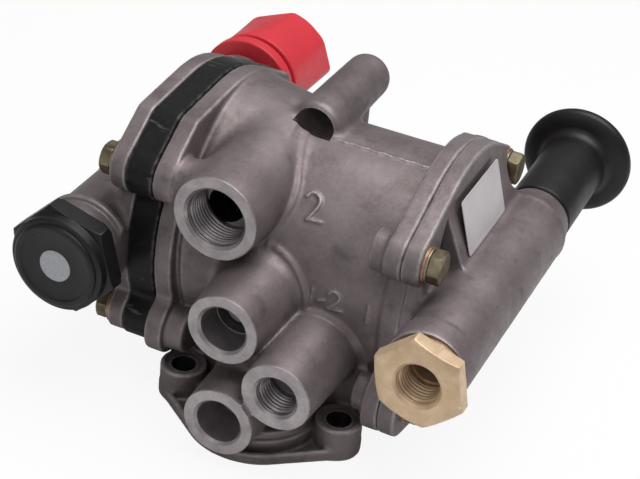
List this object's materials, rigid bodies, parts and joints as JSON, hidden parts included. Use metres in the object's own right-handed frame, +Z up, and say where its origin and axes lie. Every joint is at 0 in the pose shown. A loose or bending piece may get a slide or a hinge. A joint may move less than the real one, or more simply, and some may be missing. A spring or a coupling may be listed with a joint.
{
  "type": "emergency release valve",
  "caption": "Cast pneumatic emergency release valve with a two-bolt base flange, side covers, front ports, a red park knob, a black shunt knob and a brass adapter.",
  "frame": {"origin": "centre of the two-bolt base flange, on its underside", "axes": "+Z up from the base flange, -Y the way the ports face, +X from the black spacer plate to the shunt valve tube"},
  "size_m": [0.1682, 0.1799, 0.1012],
  "materials": {
    "casting": "die-cast surface, lightly mottled",
    "black_coating": "satin black coating",
    "bolt_zinc": "yellow zinc plated",
    "copper": "copper washer",
    "seal_rubber": "matt rubber",
    "machined_alloy": "turned",
    "spring_steel": "drawn wire",
    "brass": "turned brass",
    "black_plastic": "moulded satin black",
    "red_plastic": "moulded satin red",
    "silencer_plastic": "porous pale grey",
    "label_film": "bare label film"
  },
  "bodies": {
    "housing": {"main_body": "casting", "spacer_plate": "black_coating", "left_cover": "casting", "right_cover": "casting", "left_bolts": "bolt_zinc", "left_washers": "copper", "right_bolts": "bolt_zinc", "right_washers": "copper", "spacer_seal_left": "seal_rubber", "spacer_seal_right": "seal_rubber", "right_cover_seal": "seal_rubber", "piston_rod_seal": "seal_rubber", "piston_spring": "spring_steel", "valve_guide": "machined_alloy", "valve_spring": "spring_steel", "guide_snap_rings": "spring_steel", "check_valve_seat": "brass", "check_valve_spring": "spring_steel", "gallery_plug": "machined_alloy", "gallery_plug_seal": "seal_rubber", "gallery_plug_ring": "spring_steel", "shunt_bush": "black_plastic", "brass_adapter": "brass", "adapter_washer": "copper", "park_bush": "black_plastic", "park_snap_ring": "spring_steel", "exhaust_cap": "black_plastic", "exhaust_silencer": "silencer_plastic", "exhaust_cap_washer": "seal_rubber", "label_plate": "label_film"},
    "relay_piston": {"relay_piston": "machined_alloy", "piston_seal": "seal_rubber"},
    "inlet_valve": {"inlet_valve": "machined_alloy", "inlet_valve_face": "seal_rubber"},
    "check_poppet": {"check_valve_poppet": "black_plastic"},
    "shunt_valve": {"shunt_spool": "machined_alloy", "shunt_spool_seals": "seal_rubber", "shunt_knob": "black_plastic"},
    "park_valve": {"park_spool": "machined_alloy", "park_spool_seals": "seal_rubber", "park_knob": "red_plastic"}
  },
  "joints": [
    {"name": "shunt_knob_slide", "type": "slide", "parent": "housing", "child": "shunt_valve", "axis": [0, 1, 0], "range_m": [0, 0.01]},
    {"name": "park_knob_slide", "type": "slide", "parent": "housing", "child": "park_valve", "axis": [0, 1, 0], "range_m": [0, 0.008]},
    {"name": "relay_piston_slide", "type": "slide", "parent": "housing", "child": "relay_piston", "axis": [1, 0, 0], "range_m": [0, 0.004], "stiffness_N_per_m": 4000, "deforming": ["piston_spring"]},
    {"name": "inlet_valve_slide", "type": "slide", "parent": "housing", "child": "inlet_valve", "axis": [1, 0, 0], "range_m": [0, 0.004], "stiffness_N_per_m": 1500, "deforming": ["valve_spring"]},
    {"name": "check_valve_slide", "type": "slide", "parent": "housing", "child": "check_poppet", "axis": [0, 1, 0], "range_m": [0, 0.003], "stiffness_N_per_m": 200, "deforming": ["check_valve_spring"]}
  ],
  "couplings": [
    {"joint": "inlet_valve_slide", "follows": "relay_piston_slide", "ratio": 1}
  ]
}
